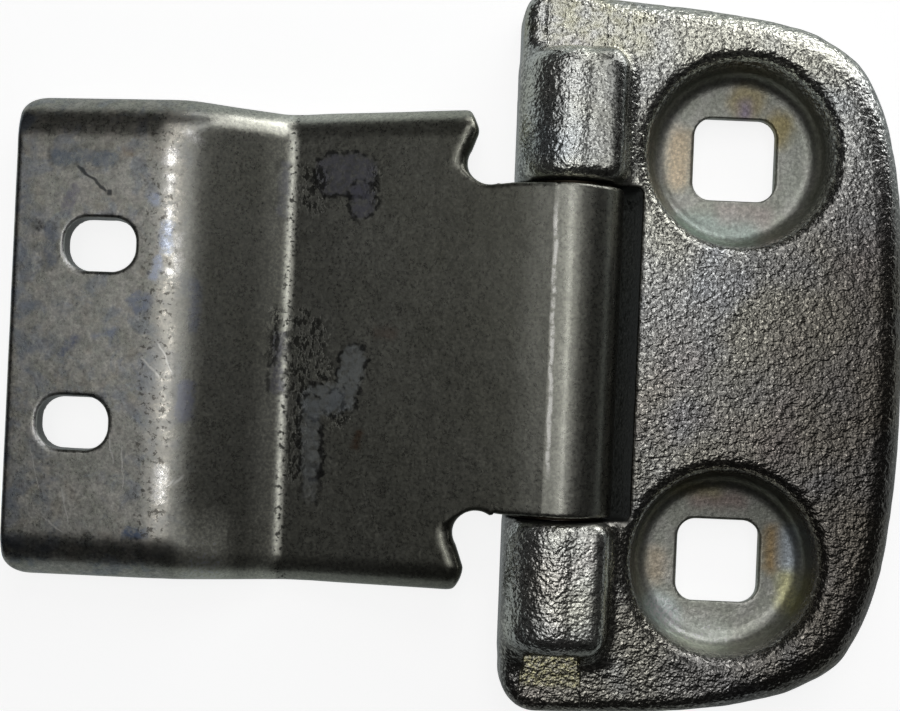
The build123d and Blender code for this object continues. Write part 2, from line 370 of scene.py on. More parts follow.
def knuckle_profile(x, z):
    c = np.sqrt(x * x + (z - PIN_Z) ** 2) - 7.5
    low = np.maximum(np.abs(x) - 7.5, z - PIN_Z)
    lean = (x - (7.4 + (11.0 - z) * 0.16)) * 0.987
    top = r_and(lean, z - 15.35 + 0.03 * np.maximum(x, 0), 2.0)
    top = np.maximum(top, -x)
    return np.minimum(np.minimum(c, low), top)


def leaf_solid(x, y, z):
    """The leaf before its holes are made."""
    b = outline(x, y)
    ay = np.abs(y)
    round_r = 2.1 + 2.6 * smooth(6, 26, x + 0.25 * y)
    plate = r_and(b + 0.035 * z, z - LEAF_T, round_r)
    kn = knuckle_profile(x, z)
    kn = r_and(kn, ay - KN_OUT, 3.2)
    kn = r_and(kn, KN_IN - ay, 2.3 + 0.9 * smooth(-4.0, -7.0, x))
    body = r_or(plate, kn, 1.5 + 1.5 * smooth(KN_OUT - 1.2, KN_OUT + 0.6, ay) * (y < 0))
    body = r_and(body, b, 0.5)
    # flat over the end of the pin bore
    seat = np.maximum(np.maximum(np.abs(x) - 3.8, LEAF_T - z), KN_OUT + 0.15 - ay)
    return r_and(body, -seat, 0.2)


def leaf_field(x, y, z):
    ay = np.abs(y)
    body = leaf_solid(x, y, z)
    # round pocket for the eye, and the open side of the window
    pc = np.sqrt(x * x + (z - PIN_Z) ** 2) - 10.1
    pocket = np.minimum(pc, x)
    pocket = r_and(pocket, ay - KN_IN, 1.0)
    body = r_and(body, -pocket, 0.35)
    # dished recesses
    rho = np.sqrt((x - DISH_X) ** 2 + (ay - DISH_Y) ** 2)
    wall = (rho - (11.75 + (z - 3.6) * 0.22)) * 0.976
    dish = r_and(wall, 3.6 - z, 1.9)
    body = r_and(body, -dish, 1.6)
    # square holes, a little wider at the back
    draft = 0.11 * np.clip(3.6 - z, 0, 3.6)
    sq = rbox2(x - DISH_X, ay - DISH_Y, 5.72 + draft, 5.72 + draft, 2.5)
    body = r_and(body, -sq, 0.18)
    # pin bore and wider ends
    bore = np.sqrt(x * x + (z - PIN_Z) ** 2) - 4.0
    wide = np.maximum(bore - 0.22, 41.0 - ay)
    body = r_and(body, -np.minimum(bore, wide), 0.1)
    return r_and(body, -z, 0.5)


def build_leaf():
    h = 0.38
    v, q, g = surface(leaf_field, (-9, -51.5, -1.0), (50, 51.5, 17.0), h)
    ay = np.abs(v[:, 1])
    rho = np.sqrt((v[:, 0] - DISH_X) ** 2 + (ay - DISH_Y) ** 2)
    in_dish = (1 - smooth(11.6, 12.9, rho)) * (v[:, 2] < 9.6)
    back = 1 - smooth(0.25, 1.2, v[:, 2])
    faces = (1 - smooth(0.15, 0.9, np.abs(ay - KN_IN))) * (v[:, 0] < 9.5)
    # the pocket mask marks the pocket round the eye; the material paints it nearly black as shade
    pocket = (1 - smooth(10.15, 10.6, np.sqrt(v[:, 0] ** 2 + (v[:, 2] - PIN_Z) ** 2))) * (ay < KN_IN + 0.2)
    bore = 1 - smooth(4.25, 4.5, np.sqrt(v[:, 0] ** 2 + (v[:, 2] - PIN_Z) ** 2))
    bore = bore * (v[:, 2] < 9.6)
    grain = np.clip(1 - in_dish * 0.85 - back - faces - bore, 0, 1)
    lump = fbm(v, 3.2, 2, 5) * 0.03 + fbm(v, 1.3, 1, 9) * 0.035
    v = v + g * (lump * grain + fbm(v, 6.0, 2, 3) * 0.02 * (1 - back))[:, None]
    v[:, 2] = np.maximum(v[:, 2], 0)
    return make_mesh("leaf_casting", v, q, {"grain": grain, "dish": in_dish, "pocket": pocket})


def plug_field(sign):
    def f(x, y, z):
        body = leaf_solid(x, y, z)
        lip = 0.48 * smooth(-0.5, -0.1, body) * (z > PIN_Z)
        cyl = np.sqrt(x * x + (z - PIN_Z) ** 2) - 4.16 - lip
        cyl = r_and(cyl, 41.05 - sign * y, 0.2)
        return r_and(body - 0.03, cyl, 0.05)
    return f


# ------------------------------------------------------------------ strap
def strap_top():
    a = (END_X - 12, END_Z - 12 * PAD_SLOPE)
    r, v = RIDGE, (VALLEY_X, web_z(VALLEY_X))
    t = (-EYE_R * math.sin(WEB) + 14, web_z(-EYE_R * math.sin(WEB) + 14))
    return np.concatenate([[a], fillet_corner(a, r, v, 14.0), fillet_corner(r, v, t, 2.7), [t]])


_top = strap_top()


def _top_values(x, z):
    d, s = seg_distance(x, z, _top)
    return np.where(s > 0, d, -d)


top_face = Field2((-86, -10), (14, 24), 0.1, _top_values)


def _eye_values(x, z):
    w = z - PIN_Z
    e0 = math.radians(90) + WEB
    e1 = e0 - math.radians(296)
    d = np.hypot(x, w)
    roll = r_and(d - EYE_R, (z - 15.17 - 0.178 * (x + 2.2)) * 0.985, 0.15)     # slight crease where the roll starts
    ring = np.maximum(roll, EYE_R - SHEET - d)
    past_end = x * math.sin(e1) - w * math.cos(e1)
    past_start = -x * math.sin(e0) + w * math.cos(e0)
    ring = np.maximum(ring, np.minimum(past_end, past_start))
    lift = x * math.cos(e0) + w * math.sin(e0)
    neck = np.maximum(np.abs(lift - (EYE_R - SHEET / 2)) - SHEET / 2, -past_start)
    return np.minimum(ring, neck)


eye_face = Field2((-34, -4), (12, 20), 0.1, _eye_values)


def neck_half(x):
    """Half width of the neck and eye: a little narrower beside the notches."""
    return EYE_HALF - 0.33 * (1 - smooth(-11.4, -7.0, x))


def strap_field(x, y, z):
    ay = np.abs(y)
    middle = np.interp(x, (-75.6, -62, -54, -50.4, -47, -40, -38, -33.7, -29.4, -22.3, -12.65),
                       (-0.76, -0.64, -0.57, -0.62, -0.68, -0.77, -0.69, -0.55, -0.50, -0.41, -0.29))
    spread = smooth(-46.0, -54.0, x)
    side = np.abs(y - middle - 0.09 * spread) - STRAP_HALF - 0.30 * spread
    outer = r_and(top_face(x, z), side, 4.5 + 2.4 * smooth(-46.0, -55.0, x))
    # plan of the wide part: shoulders, notches, far end
    nose = np.where(y < 0, (x + 12.05 + 0.42 * (ay - 30.2) + 0.05 * np.maximum(ay - 30.2, 0)) * 0.92, (x - FRONT_X + 0.42 * (ay - 29.7)) * 0.92)
    waist = ay - neck_half(x)
    bay = (x + 14.12 - 0.36 * np.clip(ay - 25.6, 0, 4.4)) * 0.94
    notch = np.sqrt((x - NOTCH[0]) ** 2 + (ay - NOTCH[1]) ** 2) - NOTCH[2]
    notch = np.minimum(notch, np.maximum(-bay, NOTCH[1] - ay))
    end = (END_EDGE + 0.003 * y) - x
    lip = 0.5 + 1.75 * smooth(22.2, 25.2, ay)
    wide = r_and(outer, -notch, lip)
    wide = r_and(wide, np.minimum(nose, waist), 0.45)
    wide = r_and(wide, r_and(end, side, 3.3), 0.6)
    taper = 0.10 * np.clip(9.6 - z, 0, 3.2)
    for sx, sy in SLOTS:
        s = rbox2(x - sx, y - sy, 5.05 - taper, 3.68 - taper * 0.6, 3.35 - taper * 0.6)
        wide = r_and(wide, -s, 0.35)
    low = np.where(x < -42, 0.0, np.where(x < -33, (x + 42) * 0.35 / 9, 0.35 + (x + 33) * 3.05 / 19.8))
    wide = r_and(wide, low - z, 0.3)
    wide = r_and(wide, -(outer + SHEET), 0.25)
    wide = np.maximum(wide, x + 6.5)
    # neck and rolled eye
    neck = r_and(eye_face(x, z), waist, 0.45)
    neck = np.maximum(neck, -20.5 - x)
    return np.minimum(wide, neck)


def build_strap():
    h = 0.36
    v, q, g = surface(strap_field, (-78.5, -36, -1.5), (9.5, 36, 17.2), h)
    wob = fbm(v, 9.0, 2, 21) * 0.035
    v = v + g * wob[:, None]
    v[:, 2] = np.maximum(v[:, 2], 0.0)
    # the wall mask marks the slot walls, painted dark as shade in the material; the rim mask marks the slots' left
    # rims, painted as a highlight
    wall = np.zeros(len(v))
    lit_rim = np.zeros(len(v))
    for sx, sy in SLOTS:
        s = rbox2(v[:, 0] - sx, v[:, 1] - sy, 5.05, 3.68, 3.35)
        deep = -top_face(v[:, 0], v[:, 2])
        wall = np.maximum(wall, (1 - smooth(0.1, 0.3, s)) * smooth(0.25, 0.6, deep))
        lit_rim = np.maximum(lit_rim, (1 - smooth(0.05, 0.30, np.abs(s - 0.12))) * (1 - smooth(0.2, 0.5, deep)) * smooth(-1.5, -3.5, v[:, 0] - sx))
    return make_mesh("strap_pressing", v, q, {"wall": wall, "lit_rim": lit_rim})


# ------------------------------------------------------------------ material graphs
class X:
    """A socket that can be used in sums."""

    def __init__(self, g, s):
        self.g, self.s = g, s

    def __add__(self, o): return self.g.m("ADD", self, o)
    def __radd__(self, o): return self.g.m("ADD", self, o)
    def __sub__(self, o): return self.g.m("SUBTRACT", self, o)
    def __rsub__(self, o): return self.g.m("SUBTRACT", o, self)
    def __mul__(self, o): return self.g.m("MULTIPLY", self, o)
    def __rmul__(self, o): return self.g.m("MULTIPLY", self, o)
    def __truediv__(self, o): return self.g.m("DIVIDE", self, o)
    def __neg__(self): return self.g.m("MULTIPLY", self, -1.0)


class Graph:
    def __init__(self, name):
        self.mat = bpy.data.materials.new(name)
        self.mat.use_nodes = True
        self.t = self.mat.node_tree
        self.bsdf = self.t.nodes["Principled BSDF"]
        tc = self.t.nodes.new("ShaderNodeTexCoord")
        mm = self.t.nodes.new("ShaderNodeVectorMath")
        mm.operation = "MULTIPLY_ADD"
        self.t.links.new(tc.outputs["Object"], mm.inputs[0])
        mm.inputs[1].default_value = (1000, 1000, 1000)
        mm.inputs[2].default_value = (-PIN_X, 0, 0)
        self.P = X(self, mm.outputs[0])
        sp = self.t.nodes.new("ShaderNodeSeparateXYZ")
        self.t.links.new(mm.outputs[0], sp.inputs[0])
        self.x, self.y, self.z = (X(self, o) for o in sp.outputs)

    def put(self, sock, v):
        if isinstance(v, X):
            self.t.links.new(v.s, sock)
        elif v is not None:
            sock.default_value = v

    def m(self, op, a, b=None, c=None):
        n = self.t.nodes.new("ShaderNodeMath")
        n.operation = op
        for k, v in enumerate((a, b, c)):
            if v is not None:
                self.put(n.inputs[k], v)
        return X(self, n.outputs[0])

    def v(self, op, a, b=None, out=0):
        n = self.t.nodes.new("ShaderNodeVectorMath")
        n.operation = op
        self.put(n.inputs[0], a)
        if b is not None:
            self.put(n.inputs["Scale"] if op == "SCALE" else n.inputs[1], b)
        return X(self, n.outputs[out])

    def xyz(self, x, y, z):
        n = self.t.nodes.new("ShaderNodeCombineXYZ")
        for k, v in enumerate((x, y, z)):
            self.put(n.inputs[k], v)
        return X(self, n.outputs[0])

    def step(self, a, b, x, lo=0.0, hi=1.0):
        n = self.t.nodes.new("ShaderNodeMapRange")
        n.interpolation_type = "SMOOTHSTEP"
        for k, v in enumerate((x, a, b, lo, hi)):
            self.put(n.inputs[k], v)
        return X(self, n.outputs[0])

    def noise(self, p, scale, detail=2.0, rough=0.5, dist=0.0, col=False):
        n = self.t.nodes.new("ShaderNodeTexNoise")
        self.put(n.inputs["Vector"], p)
        n.inputs["Scale"].default_value = scale
        n.inputs["Detail"].default_value = detail
        n.inputs["Roughness"].default_value = rough
        n.inputs["Distortion"].default_value = dist
        return X(self, n.outputs[1 if col else 0])

    def voro(self, p, scale, out="Distance", feature="F1", rand=1.0, smooth=None):
        n = self.t.nodes.new("ShaderNodeTexVoronoi")
        n.feature = feature
        self.put(n.inputs["Vector"], p)
        n.inputs["Scale"].default_value = scale
        n.inputs["Randomness"].default_value = rand
        if smooth is not None:
            n.inputs["Smoothness"].default_value = smooth
        return X(self, n.outputs[out])

    def mix(self, t, a, b, mode="MIX"):
        n = self.t.nodes.new("ShaderNodeMix")
        n.data_type = "RGBA"
        n.blend_type = mode
        self.put(n.inputs[0], t)
        self.put(n.inputs[6], (*a, 1) if isinstance(a, tuple) else a)
        self.put(n.inputs[7], (*b, 1) if isinstance(b, tuple) else b)
        return X(self, n.outputs[2])

    def attr(self, name):
        n = self.t.nodes.new("ShaderNodeAttribute")
        n.attribute_name = name
        return X(self, n.outputs["Fac"])

    def bump(self, height, distance, strength=1.0, normal=None):
        n = self.t.nodes.new("ShaderNodeBump")
        n.inputs["Strength"].default_value = strength
        n.inputs["Distance"].default_value = distance
        self.put(n.inputs["Height"], height)
        if normal is not None:
            self.put(n.inputs["Normal"], normal)
        return X(self, n.outputs[0])

    def geo_up(self):
        n = self.t.nodes.new("ShaderNodeNewGeometry")
        s = self.t.nodes.new("ShaderNodeSeparateXYZ")
        self.t.links.new(n.outputs["Normal"], s.inputs[0])
        return tuple(X(self, o) for o in s.outputs)

    def blob(self, cx, cy, hx, hy, wob, soft=0.15, turn=0.0, rnd=0.5):
        """1 inside a ragged rounded patch on the plan, 0 outside; also the signed distance in mm."""
        dx, dy = self.x - cx, self.y - cy
        if turn:
            c, s = math.cos(math.radians(turn)), math.sin(math.radians(turn))
            dx, dy = dx * c + dy * s, dy * c - dx * s
        r = min(hx, hy) * rnd
        qx = self.m("MAXIMUM", self.m("ABSOLUTE", dx) - (hx - r), 0.0)
        qy = self.m("MAXIMUM", self.m("ABSOLUTE", dy) - (hy - r), 0.0)
        d = self.m("SQRT", qx * qx + qy * qy) - r + wob
        return self.step(soft, -soft, d), d

    def done(self, base, rough, normal=None, metallic=1.0, coat=None, coat_rough=None, coat_ior=None, spec_tint=None):
        b = self.bsdf
        self.put(b.inputs["Base Color"], (*base, 1) if isinstance(base, tuple) else base)
        self.put(b.inputs["Roughness"], rough)
        self.put(b.inputs["Metallic"], metallic)
        if normal is not None:
            self.put(b.inputs["Normal"], normal)
        if coat is not None:
            self.put(b.inputs["Coat Weight"], coat)
            b.inputs["Coat Roughness"].default_value = coat_rough
            if coat_ior:
                b.inputs["Coat IOR"].default_value = coat_ior
        return self.mat


def over(g, col, items):
    for mask, c in items:
        col = g.mix(mask, col, c)
    return col


def strap_material():
    g = Graph("strap_rolled_steel")
    P, x, y = g.P, g.x, g.y
    fine = g.noise(P, 2.3, 3.0, 0.65)
    mid = g.noise(P, 0.55, 4.0, 0.6)
    big = g.noise(P, 0.11, 2.0, 0.5)
    rag = (g.noise(P, 0.75, 4.0, 0.65) - 0.5) * 3.6
    pad = g.step(-50.0, -56.0, x)
    # plain oxide, warmer on the middle panel, greyer on the end pad; painted shade darkens the middle panel towards the
    # eye
    col = g.mix(big, (0.40, 0.40, 0.34), (0.46, 0.46, 0.42))
    web_painted_shade = g.step(-36.0, -12.0, x) * g.step(-3.5, -8.0, x)
    col = g.mix(web_painted_shade, col, g.mix(1.0, col, (0.62, 0.62, 0.60), "MULTIPLY"))
    col = g.mix(pad * g.step(0.35, 0.65, mid), col, (0.56, 0.54, 0.49))
    # blue-grey and brownish clouds on the pad
    blue = g.step(0.50, 0.64, g.noise(P, 0.26, 4.0, 0.62, 0.6)) * g.step(-48.0, -54.0, x)
    soil = g.step(22.0, 29.0, y) * g.step(-50.0, -56.0, x)
    tan_ = g.step(0.52, 0.66, g.noise(g.v("ADD", P, (31.0, 7.0, 0.0)), 0.33, 4.0, 0.6, 0.4)) * g.step(-48.0, -54.0, x)
    col = g.mix(blue * 0.45, col, (0.27, 0.31, 0.38))
    col = g.mix(tan_ * 0.2, col, (0.44, 0.36, 0.27))
    col = g.mix(pad, col, g.mix(1.0, col, (1.16, 1.17, 1.20), "MULTIPLY"))
    mottle = g.noise(P, 0.9, 5.0, 0.7)
    col = g.mix(g.step(0.62, 0.30, mottle) * (0.30 + pad * 0.35), col, g.mix(1.0, col, (0.50, 0.50, 0.50), "MULTIPLY"))
    col = g.mix(soil * 0.5, col, g.mix(1.0, col, (0.52, 0.49, 0.44), "MULTIPLY"))
    col = g.mix(g.step(0.3, 0.8, fine), g.mix(1.0, col, (0.72, 0.72, 0.72), "MULTIPLY"), g.mix(1.0, col, (1.28, 1.28, 1.25), "MULTIPLY"))
    # painted light: the slope, the band left of the valley, the lower end of the slope, the top edge of the middle
    # panel and both long edges are lightened where light catches the bends
    slope_painted_light = g.step(-50.5, -48.5, x) * g.step(-37.5, -39.0, x)
    valley_painted_halo = g.step(-44.0, -39.6, x) * g.step(-38.3, -39.2, x)
    low = g.step(-21.0, -29.0, y) * g.step(-43.0, -47.0, x) * g.step(-53.0, -50.5, x)
    top_edge_painted_highlight = g.step(29.8, 32.0, y) * g.step(-40.0, -36.0, x)
    gain = 1.0 + slope_painted_light * 0.15 + valley_painted_halo * 0.75 + low * 1.2 + top_edge_painted_highlight * 0.7 + g.step(28.8, 31.0, g.m("ABSOLUTE", y)) * 0.3
    col = g.v("SCALE", col, gain)
    # bluish cloud at the far end and beside the ridge
    cloud = g.step(0.47, 0.68, g.noise(P, 0.22, 3.0, 0.55)) * g.step(-66.0, -76.0, x)
    col = g.mix(cloud * 0.6, col, (0.22, 0.27, 0.36))
    # dark pits
    cell = g.voro(P, 1.05)
    pick = g.step(0.62, 0.66, g.noise(P, 0.9, 1.0))
    pits = g.step(0.20, 0.10, cell) * pick
    small = g.step(0.26, 0.14, g.voro(P, 2.4)) * g.step(0.52, 0.60, g.noise(P, 1.7, 1.0))
    # stains and polished places, each with a ragged outline
    polished = []
    broken = g.step(0.42, 0.56, g.noise(P, 0.8, 1.0))
    worn_through = 0.35 + 0.65 * g.step(0.36, 0.56, g.noise(P, 1.1, 5.0, 0.7))
    sway = (g.noise(P, 0.6, 1.0) - 0.5) * 0.7
    for cx, cy, hx, hy, turn, c, edge, amount in (
            (-31.0, 23.4, 4.4, 2.8, 0, (0.23, 0.23, 0.29), 1.0, 0.7),
            (-28.4, 19.8, 1.7, 2.4, 0, (0.23, 0.23, 0.29), 1.0, 0.7),
            (-29.3, -4.8, 1.7, 4.4, -10, (0.48, 0.52, 0.54), 1.0, 0.62),
            (-33.2, -8.0, 2.9, 2.2, 12, (0.48, 0.52, 0.54), 1.0, 0.62),
            (-31.0, -8.2, 1.6, 1.6, 0, (0.46, 0.50, 0.53), 0.0, 0.6),
            (-34.5, -13.4, 1.4, 5.6, 2, (0.46, 0.50, 0.53), 1.0, 0.5),
            (-34.2, -19.9, 1.1, 2.4, 0, (0.44, 0.47, 0.50), 0.6, 0.35),
            (-39.6, -3.0, 0.8, 4.5, 0, (0.20, 0.20, 0.30), 0.7, 0.6),
            (-39.8, 21.1, 0.7, 3.9, 0, (0.26, 0.27, 0.36), 0.3, 0.5),
            (-66.5, 23.7, 4.8, 1.1, 0, (0.15, 0.19, 0.25), 0.4, 0.65),
            (-70.8, 11.5, 0.75, 2.9, 3, (0.13, 0.16, 0.22), 0.4, 0.65),
            (-68.2, 17.9, 0.8, 2.1, -20, (0.20, 0.19, 0.26), 0.0, 0.55),
            (-58.1, 4.3, 1.5, 1.5, 20, (0.24, 0.28, 0.38), 0.2, 0.7),
            (-67.6, -2.2, 0.5, 1.8, -40, (0.14, 0.17, 0.27), 0.2, 0.7),
            (-62.6, -0.2, 1.8, 0.4, 20, (0.22, 0.27, 0.40), 0.0, 0.6),
            (-72.6, 14.2, 0.7, 0.7, 0, (0.06, 0.06, 0.06), 0.0, 0.9),
            (-51.4, -9.0, 1.2, 2.8, 0, (0.25, 0.27, 0.40), 0.0, 0.7),
            (-50.6, 4.0, 0.7, 3.6, 0, (0.26, 0.29, 0.40), 0.0, 0.6),
            (-55.0, -7.5, 3.0, 6.0, 0, (0.34, 0.38, 0.46), 0.0, 0.3),
            (-57.2, -27.3, 1.9, 0.7, 0, (0.05, 0.11, 0.24), 0.0, 0.8)):
        mask, d = g.blob(cx, cy, hx, hy, rag * 0.62, 0.4, turn, 0.9)
        mask = mask * worn_through
        col = g.mix(mask * amount, col, c)
        if edge:
            ring = g.step(0.62, 0.12, g.m("ABSOLUTE", d - 0.22)) * broken
            col = g.mix(ring * (0.85 * edge), col, (0.045, 0.045, 0.045))
        polished.append(mask)
    poli = polished[0]
    for q in polished[1:9]:
        poli = g.m("MAXIMUM", poli, q)
    # bright places by the ridge: partly worn metal, partly a painted highlight
    worn_and_highlight = None
    for cx, cy, hx, hy, turn in ((-54.6, 24.1, 0.8, 1.2, 0), (-54.6, 21.0, 0.6, 0.9, 10), (-54.7, 19.7, 0.4, 0.6, 0),
                                 (-53.1, 12.9, 0.45, 0.9, 0), (-53.0, 9.7, 0.5, 1.5, 0), (-53.7, 8.5, 0.8, 0.5, 0),
                                 (-51.6, 27.0, 1.4, 0.4, -30), (-54.4, 16.6, 0.4, 0.9, 0), (-54.2, -20.5, 0.8, 2.6, 0)):
        mask, d = g.blob(cx, cy, hx, hy, rag * 0.45, 0.7, turn, 1.0)
        mask = mask * (0.45 + 0.55 * g.step(0.40, 0.56, g.noise(P, 1.7, 4.0, 0.7)))
        worn_and_highlight = mask if worn_and_highlight is None else g.m("MAXIMUM", worn_and_highlight, mask)
    glaze = None
    for cx, cy, hx, hy, turn in ((-54.7, 13.2, 0.95, 2.4, 0), (-55.9, 9.0, 0.6, 1.8, -14), (-56.6, 18.2, 0.8, 0.9, 0)):
        mask, d = g.blob(cx, cy, hx, hy, rag * 0.4, 0.4, turn, 0.9)
        mask = mask * worn_through
        glaze = mask if glaze is None else g.m("MAXIMUM", glaze, mask)
    # painted light: the band round the ridge is lightened
    near = g.step(4.6, 1.0, g.m("ABSOLUTE", x + 53.4)) * g.step(32.5, 29.5, g.m("ABSOLUTE", y))
    col = g.mix(near * 0.35, col, (0.50, 0.50, 0.47))
    clump = g.step(0.38, 0.62, g.noise(P, 1.9, 5.0, 0.72)) * g.step(0.30, 0.62, g.noise(P, 0.35, 2.0))
    # painted highlight along the ridge: a lighter band with a brighter mottled core
    ridge = g.step(2.4, 0.5, g.m("ABSOLUTE", x + 54.2 + (mid - 0.5) * 1.6)) * g.step(31.5, 28.5, g.m("ABSOLUTE", y))
    ridge_painted_highlight = ridge * clump
    col = g.mix(ridge * 0.45, col, (0.44, 0.42, 0.37))
    col = g.mix(ridge_painted_highlight * 0.7, col, (0.74, 0.70, 0.61))
    dark = g.step(3.4, 1.6, g.m("ABSOLUTE", x + 55.6)) * g.step(0.55, 0.62, g.noise(P, 1.3, 3.0, 0.7)) * g.step(30.0, 27.0, g.m("ABSOLUTE", y))
    col = g.mix(dark * 0.75, col, (0.07, 0.065, 0.055))
    col = g.mix(glaze * 0.85, col, (0.46, 0.51, 0.62))
    col = g.mix(worn_and_highlight * 0.7, col, (0.90, 0.89, 0.87))
    # painted highlight along the top of the eye, a ragged bright line
    eye_painted_highlight = g.step(0.42, 0.12, g.m("ABSOLUTE", x + 1.95 + (g.noise(P, 0.35, 2.0) - 0.5) * 0.9 + y * 0.008))
    eye_painted_highlight = eye_painted_highlight * g.step(0.34, 0.52, g.noise(P, 0.8, 3.0, 0.6)) * g.step(21.0, 17.0, y) * g.step(-18.0, -14.0, y)
    col = g.mix(eye_painted_highlight * 0.9, col, (0.86, 0.85, 0.80))
    # pitted strip beside the valley
    strip = g.step(3.4, 1.0, g.m("ABSOLUTE", x + 35.6)) * g.step(19.0, 6.0, g.m("ABSOLUTE", y - 6.0))
    mott = g.step(0.54, 0.62, g.noise(P, 1.15, 3.0, 0.65))
    valley_pits = g.step(1.6, 0.4, g.m("ABSOLUTE", x + 38.3)) * g.step(0.56, 0.62, g.noise(P, 1.6, 2.0, 0.6))
    eaten = None
    for cx, cy, hx, hy, turn in ((-35.6, 21.6, 2.2, 3.6, 0), (-36.3, -1.5, 1.9, 6.5, 0), (-34.4, 0.6, 1.6, 3.0, 0), (-36.6, -13.5, 1.3, 6.5, 0),
                                 (-40.2, 0.5, 0.9, 4.2, 0), (-33.2, -3.6, 1.5, 2.0, 0), (-30.3, -10.6, 1.8, 1.0, 30), (-26.9, 22.0, 0.7, 2.6, 0)):
        q, _ = g.blob(cx, cy, hx, hy, rag * 0.7, 0.9, turn, 0.9)
        eaten = q if eaten is None else g.m("MAXIMUM", eaten, q)
    eaten = eaten * g.step(0.46, 0.53, g.noise(g.v("MULTIPLY", P, (1.3, 0.7, 1.0)), 1.25, 4.0, 0.7))
    holes = g.m("MAXIMUM", g.m("MAXIMUM", pits * (0.04 + pad * 0.30), small * 0.04), g.m("MAXIMUM", strip * mott * 0.6, valley_pits * 0.85))
    holes = g.m("MAXIMUM", holes * (1.0 - poli * 0.8), eaten * 0.9)
    col = g.mix(holes, col, (0.035, 0.035, 0.032))
    # one small rust spot and two faint ones
    rust, _ = g.blob(-27.8, -13.3, 0.5, 1.3, rag * 0.3, 0.5, -18)
    rust2, _ = g.blob(-24.6, 1.5, 1.5, 0.7, rag * 0.5, 0.8)
    rust3, _ = g.blob(-60.5, 24.5, 0.9, 0.6, rag * 0.5, 0.6)
    col = g.mix(rust * 0.75, col, (0.17, 0.075, 0.03))
    col = g.mix(rust2 * 0.35, col, (0.19, 0.09, 0.06))
    col = g.mix(rust3 * 0.4, col, (0.25, 0.15, 0.08))
    # fine scratches
    scratch = None
    for x0, y0, x1, y1, w in ((-70.6, -25.5, -67.1, -27.7, 0.07), (-67.8, -21.4, -66.6, -26.4, 0.06), (-52.5, -20.4, -51.0, -19.0, 0.12),
                              (-53.6, -20.9, -52.2, -19.5, 0.10), (-72.5, -16.0, -70.8, -22.0, 0.05), (-62.0, -12.0, -60.6, -18.0, 0.08),
                              (-59.6, -15.5, -59.2, -21.5, 0.06), (-57.5, -3.0, -54.8, -6.0, 0.12), (-55.2, -1.0, -53.0, -5.5, 0.08)):
        L = math.hypot(x1 - x0, y1 - y0)
        ux, uy = (x1 - x0) / L, (y1 - y0) / L
        dx, dy = x - x0, y - y0
        along = dx * ux + dy * uy
        off = g.m("ABSOLUTE", dy * ux - dx * uy + sway)
        q = g.step(w * 2.2, w * 0.5, off) * g.step(-0.3, 0.6, along) * g.step(L + 0.3, L - 0.6, along)
        scratch = q if scratch is None else g.m("MAXIMUM", scratch, q)
    col = g.mix(scratch * 0.8, col, (0.75, 0.74, 0.70))
    L = math.hypot(4.6, 3.3)
    dx, dy = x + 67.6, y - 22.5
    along = (dx * 4.6 - dy * 3.3) / L
    off = g.m("ABSOLUTE", (dx * 3.3 + dy * 4.6) / L + sway * 1.3)
    gouge = g.step(0.28, 0.10, off) * g.step(-0.2, 0.4, along) * g.step(L + 0.2, L - 0.4, along)
    gouge = g.m("MAXIMUM", gouge, g.blob(-62.8, 19.0, 0.35, 0.4, 0.0, 0.15)[0])
    col = g.mix(gouge * 0.85, col, (0.04, 0.045, 0.05))
    # painted shade on the slot walls, painted highlight on the left rims of the slots
    wall, lit_rim = g.attr("wall"), g.attr("lit_rim")
    col = g.mix(wall * 0.9, col, (0.07, 0.07, 0.065))
    col = g.mix(lit_rim * g.step(0.35, 0.5, g.noise(P, 1.6, 3.0, 0.6)), col, (0.97, 0.97, 0.96))
    rough = 0.295 + valley_painted_halo * 0.06 + low * 0.09 + ridge * 0.05 + lit_rim * 0.15 + (fine - 0.5) * 0.20 + (mid - 0.5) * 0.14 + poli * 0.10 - worn_and_highlight * 0.14 - glaze * 0.08 + holes * 0.2
    rough = g.m("MAXIMUM", rough - ridge_painted_highlight * 0.08 - eye_painted_highlight * 0.06, 0.16)
    h = (g.noise(P, 2.6, 2.0, 0.6) - 0.5) * 0.45 + (g.noise(P, 0.5, 1.0, 0.5) - 0.5) * 0.9 - pits * pad * 0.2 - eaten * 0.5
    n = g.bump(h, 0.00003)
    return g.done(col, rough, n, coat=0.12, coat_rough=0.2, coat_ior=1.5)


